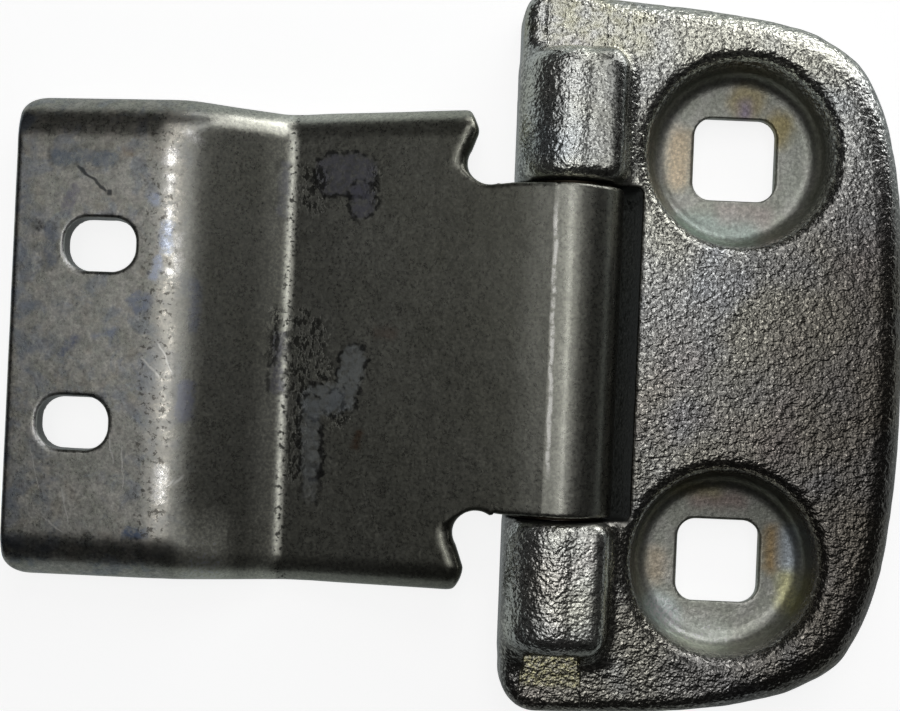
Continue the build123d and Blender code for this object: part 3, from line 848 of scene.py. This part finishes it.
def zinc_material(name, plug=False):
    g = Graph(name)
    P, x, y, z = g.P, g.x, g.y, g.z
    grain = 1.0 if plug else g.attr("grain")
    dish = 0.0 if plug else g.attr("dish")
    ay = g.m("ABSOLUTE", y)
    tint = g.noise(P, 0.07, 2.0, 0.5, col=True)
    sp = g.t.nodes.new("ShaderNodeSeparateXYZ")
    g.put(sp.inputs[0], tint)
    t1, t2, t3 = (X(g, o) for o in sp.outputs)
    col = g.mix(g.step(0.35, 0.7, t1), (0.55, 0.56, 0.55), (0.60, 0.60, 0.53))
    col = g.mix(g.step(0.52, 0.75, t2) * 0.5, col, (0.46, 0.52, 0.60))
    col = g.mix(g.step(0.55, 0.78, t3) * 0.4, col, (0.58, 0.50, 0.50))
    # oxide and painted shade: darker and browner towards the rounded corner and the lower side; white crests of the
    # grain, partly painted glints that come denser where light falls
    knuckle = g.step(10.5, 12.5, z)
    far = g.step(10.0, 46.0, x) * g.step(34.0, 12.0, y) * 0.72
    lower_shade = (0.14 + g.step(22.0, -14.0, y) * 0.32) * (1.0 - knuckle * 0.9)
    oxide_and_shade = 1.0 - (1.0 - far) * (1.0 - lower_shade)
    col = g.mix(oxide_and_shade, col, g.mix(1.0, col, (0.34, 0.29, 0.27), "MULTIPLY"))
    Q = g.v("MULTIPLY", P, (0.85, 1.15, 1.0))
    lit_rim = g.step(36.0, 44.0, y)
    # painted glints: the crests come thicker on the knuckles and the top rim, where light falls, and thinner under the
    # oxide and shade
    cut = 0.50 + oxide_and_shade * 0.17 - g.m("MAXIMUM", knuckle, lit_rim) * 0.07
    crest_and_glint = g.noise(Q, 2.0, 1.5, 0.55) * (1.0 - knuckle) + g.noise(Q, 2.9, 1.5, 0.55) * knuckle
    crest_and_glint = g.m("MULTIPLY", g.m("ADD", crest_and_glint, -1.0 * cut), 9.0)
    crest_and_glint = g.m("MAXIMUM", g.m("MINIMUM", crest_and_glint + 0.5, 1.0), 0.0)
    crest_and_glint = crest_and_glint * grain
    base = col
    col = g.mix((1.0 - crest_and_glint) * grain * 0.62, col, g.mix(1.0, col, (0.42, 0.42, 0.42), "MULTIPLY"))
    col = g.mix(crest_and_glint, col, g.mix(1.0, base, (1.6, 1.6, 1.58), "MULTIPLY"))
    top = g.step(38.0, 44.0, y) * g.step(16.0, 6.0, x)
    col = g.mix(top * g.step(0.35, 0.65, g.noise(P, 0.3, 2.0)) * 0.55, col, (0.62, 0.60, 0.40))
    if plug:
        seat = g.step(-10.0, -30.0, y) * g.step(-46.2, -45.2, y)
        yel = g.step(0.40, 0.60, g.noise(P, 1.5, 4.0, 0.65))
        col = g.mix(seat * (0.12 + yel * 0.5), col, (0.66, 0.62, 0.33))
    else:
        # recess colours
        dcol = g.mix(g.step(0.4, 0.65, g.noise(P, 0.35, 3.0)), (0.40, 0.41, 0.36), (0.47, 0.47, 0.43))
        up = g.step(-1.0, 1.0, y)
        wob = (g.noise(P, 0.5, 3.0, 0.6) - 0.5) * 3.0
        for cx, cy, hx, hy, c, a in (
                (15.4, 28.0, 1.6, 4.2, (0.66, 0.54, 0.38), 0.8),
                (24.6, 36.4, 2.6, 2.4, (0.46, 0.38, 0.20), 0.7),
                (24.4, 35.2, 0.8, 1.2, (0.32, 0.27, 0.40), 0.8),
                (29.4, 32.6, 1.8, 2.6, (0.45, 0.36, 0.14), 0.7),
                (20.5, 18.3, 6.5, 2.2, (0.42, 0.52, 0.48), 0.6),
                (31.6, 27.0, 1.6, 5.0, (0.55, 0.58, 0.52), 0.4),
                (25.0, 20.5, 4.0, 1.4, (0.50, 0.42, 0.40), 0.5),
                (14.9, -36.8, 3.6, 3.6, (0.62, 0.70, 0.68), 0.8),
                (20.0, -38.6, 5.5, 2.0, (0.60, 0.64, 0.58), 0.6),
                (33.1, -31.8, 1.3, 3.0, (0.62, 0.60, 0.32), 0.8),
                (30.7, -26.2, 1.0, 3.2, (0.50, 0.34, 0.15), 0.8),
                (33.3, -26.0, 1.3, 3.2, (0.50, 0.56, 0.62), 0.8),
                (23.0, -19.6, 4.0, 1.2, (0.42, 0.30, 0.28), 0.6),
                (19.5, -18.2, 4.0, 1.0, (0.42, 0.38, 0.20), 0.6),
                (14.6, -29.0, 1.5, 2.5, (0.52, 0.42, 0.30), 0.6)):
            m_, _ = g.blob(cx, cy, hx, hy, wob * 0.5, 1.2, 0, 1.0)
            dcol = g.mix(m_ * a, dcol, c)
        spk = g.noise(P, 1.9, 3.0, 0.7)
        dcol = g.mix(g.step(0.3, 0.75, spk), g.mix(1.0, dcol, (0.72, 0.72, 0.72), "MULTIPLY"), g.mix(1.0, dcol, (1.25, 1.25, 1.25), "MULTIPLY"))
        # painted light: the recess floors are brighter towards the pin and the lower side
        dy = g.m("ABSOLUTE", y) - DISH_Y
        dy = dy * (up * 2.0 - 1.0)
        floor_painted_light = 1.14 - (x - DISH_X) * 0.012 - dy * (0.062 - up * 0.032)
        floor_painted_light = g.m("MAXIMUM", g.m("MINIMUM", floor_painted_light, 1.7), 0.5)
        dcol = g.v("SCALE", dcol, floor_painted_light)
        col = g.mix(dish, col, dcol)
        # painted shade: the knuckles are darker on the side of the recesses, where the bump is also softer, and at the
        # lower knuckle's far end; the open edge is darker too
        shaded_knuckle_side = g.step(10.5, 12.5, z) * g.step(0.0, 4.0, x)
        edge_ = g.step(-6.2, -7.2, x) * g.step(9.5, 7.5, z)
        shaded_knuckle_end = knuckle * g.step(-38.0, -40.5, y)
        col = g.mix(g.m("MAXIMUM", g.m("MAXIMUM", shaded_knuckle_side * (0.15 + up * 0.8), shaded_knuckle_end * 0.9), edge_ * 0.55), col, g.mix(1.0, col, (0.55, 0.55, 0.55), "MULTIPLY"))
    fine = g.noise(P, 1.75, 1.0, 0.5)
    fine2 = g.noise(P, 3.3, 0.0, 0.5)
    lump = g.noise(P, 0.9, 0.0, 0.5)
    h = (fine - 0.5) * 1.0 + (fine2 - 0.5) * 0.25 + (lump - 0.5) * 0.6
    soft = (g.noise(P, 2.2, 3.0, 0.6) - 0.5) * 0.10 + (g.noise(P, 0.7, 2.0) - 0.5) * 0.25
    height = h * grain + soft * (1.0 - grain) if not plug else h
    n = g.bump(height, 0.00017)
    if plug:
        rough = 0.26 + (fine2 - 0.5) * 0.1
    else:
        rough = 0.40 - grain * 0.15 + (fine2 - 0.5) * 0.1 + dish * 0.04
        n = g.bump(height * (1.0 - shaded_knuckle_side * 0.5), 0.00017)
        # painted shade: the pocket round the eye is painted nearly black, and made rougher
        pocket_painted_shade = g.attr("pocket")
        col = g.mix(pocket_painted_shade * 0.93, col, (0.03, 0.03, 0.028))
        rough = g.m("ADD", rough, pocket_painted_shade * 0.25)
    return g.done(col, rough, n)


def plain_metal(name, c1, c2, rough, size, depth):
    g = Graph(name)
    a = g.noise(g.P, size, 4.0, 0.6)
    b = g.noise(g.v("MULTIPLY", g.P, (3.0, 0.4, 3.0)), 1.4, 3.0, 0.6)
    col = g.mix(g.step(0.35, 0.65, a), c1, c2)
    return g.done(col, rough + (b - 0.5) * 0.22, g.bump(b + a * 0.5, depth))


zinc = zinc_material("zinc_blasted")
zinc_plug = zinc_material("zinc_plug", plug=True)
steel = strap_material()

leaf = build_leaf()
leaf.data.materials.append(zinc)
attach(leaf, "leaf")
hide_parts("body_leaf")

strap = build_strap()
strap.data.materials.append(steel)
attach(strap, "strap")
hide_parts("door_strap")

for name, sgn in (("upper_bore_plug", 1), ("lower_bore_plug", -1)):
    lo = (-5.0, 40.5, 2.5) if sgn > 0 else (-5.0, -51.5, 2.5)
    hi = (5.0, 51.5, 13.5) if sgn > 0 else (5.0, -40.5, 13.5)
    v, q, g = surface(plug_field(sgn), lo, hi, 0.2)
    plug = make_mesh(name + "_face", v, q)
    plug.data.materials.append(zinc_plug)
    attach(plug, "leaf")
    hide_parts(name)

pin_mat = plain_metal("pin_turned_steel", (0.42, 0.41, 0.39), (0.52, 0.51, 0.49), 0.3, 0.5, 0.00001)
# the bushes are nearly black: partly grimy bronze, darkened further as painted shade of the narrow gap they show
# through
bush_shade_mat = plain_metal("bush_bronze", (0.020, 0.017, 0.013), (0.045, 0.036, 0.026), 0.5, 0.6, 0.00001)
for node, m in (("hinge_pin", pin_mat), ("upper_bush", bush_shade_mat), ("lower_bush", bush_shade_mat)):
    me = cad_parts[node].data
    if len(me.materials) == 0:
        me.materials.append(m)
    for k in range(len(me.materials)):
        me.materials[k] = m

# ------------------------------------------------------------------ camera
cam_data = bpy.data.cameras.new("camera")
cam = bpy.data.objects.new("camera", cam_data)
bpy.context.scene.collection.objects.link(cam)
bpy.context.scene.camera = cam
DIST, PXMM = 225.0, 7.0
cam_data.sensor_fit = "HORIZONTAL"
cam_data.sensor_width = 36.0
cam_data.lens = PXMM * DIST / 900 * 36.0
cam_data.clip_start = 0.01
TURN, DROP = math.radians(2.45), 7.0
cam.location = ((PIN_X - 15.5 + DROP * math.sin(TURN)) / 1000, (-0.9 - DROP * math.cos(TURN)) / 1000, DIST / 1000)
cam.rotation_euler = (0, 0, TURN)
cam_data.shift_y = DROP * PXMM / 900

# ------------------------------------------------------------------ floor and light
def stage_plane(name, pts, col, glow):
    me = bpy.data.meshes.new(name)
    me.from_pydata(pts, [], [tuple(range(len(pts)))])
    ob = bpy.data.objects.new(name, me)
    bpy.context.scene.collection.objects.link(ob)
    m = bpy.data.materials.new(name)
    m.use_nodes = True
    b = m.node_tree.nodes["Principled BSDF"]
    b.inputs["Base Color"].default_value = (*col, 1)
    b.inputs["Roughness"].default_value = 0.9
    b.inputs["Specular IOR Level"].default_value = 0.0
    b.inputs["Emission Color"].default_value = (1, 1, 1, 1)
    b.inputs["Emission Strength"].default_value = glow
    me.materials.append(m)
    return ob


floor = stage_plane("floor", [(-3, -3, -2e-5), (3, -3, -2e-5), (3, 3, -2e-5), (-3, 3, -2e-5)], (0.5, 0.5, 0.5), 0.84)
floor.visible_glossy = False


def area(name, loc, size, power, size_y=None, target=(-0.03, 0, 0)):
    d = bpy.data.lights.new(name, "AREA")
    d.energy = power
    d.shape = "RECTANGLE"
    d.size = size
    d.size_y = size_y or size
    o = bpy.data.objects.new(name, d)
    bpy.context.scene.collection.objects.link(o)
    o.location = loc
    o.rotation_euler = (Vector(target) - Vector(loc)).to_track_quat("-Z", "Y").to_euler()
    return o


def dome(name, el, az, r, size, power, size_y=None):
    e, a = math.radians(el), math.radians(az)
    return area(name, (-0.03 + r * math.cos(e) * math.cos(a), r * math.cos(e) * math.sin(a), r * math.sin(e)), size, power, size_y)


area("over", (-0.095, 0.12, 1.0), 0.93, 1.15, 0.74)
area("over_tail", (0.49, 0.12, 1.0), 0.28, 0.10, 0.74)
area("core", (-0.065, 0.07, 1.0), 0.08, 0.30, 0.38)
dome("top", 50, 90, 0.36, 0.20, 0.085, 0.14)
dome("low_right", 26, 55, 0.36, 0.22, 0.12, 0.12)
dome("far_top", 10, 80, 0.40, 0.30, 0.08, 0.06)
dome("horizon", 2, 50, 0.40, 0.34, 0.35, 0.12)

world = bpy.data.worlds.new("world")
bpy.context.scene.world = world
world.use_nodes = True
wt = world.node_tree
bg = wt.nodes["Background"]
tc = wt.nodes.new("ShaderNodeTexCoord")
sp = wt.nodes.new("ShaderNodeSeparateXYZ")
wt.links.new(tc.outputs["Generated"], sp.inputs[0])
ramp = wt.nodes.new("ShaderNodeValToRGB")
mr = wt.nodes.new("ShaderNodeMapRange")
mr.inputs[1].default_value = -1.0
mr.inputs[2].default_value = 1.0
wt.links.new(sp.outputs[2], mr.inputs[0])
wt.links.new(mr.outputs[0], ramp.inputs[0])
wt.links.new(ramp.outputs[0], bg.inputs[0])
els = ramp.color_ramp.elements
els[0].position, els[0].color = 0.0, (0.40, 0.43, 0.43, 1)
els[1].position, els[1].color = 1.0, (0.03, 0.03, 0.03, 1)
for pos, c in ((0.47, (0.40, 0.43, 0.43)), (0.53, (0.03, 0.03, 0.03)), (0.8, (0.03, 0.03, 0.03))):
    e = els.new(pos)
    e.color = (*c, 1)
side = wt.nodes.new("ShaderNodeMapRange")
for k, v in ((1, -1.0), (2, 1.0), (3, 0.42), (4, 0.98)):
    side.inputs[k].default_value = v
wt.links.new(sp.outputs[1], side.inputs[0])
wt.links.new(side.outputs[0], bg.inputs[1])
bpy.context.scene.view_settings.view_transform = "Standard"
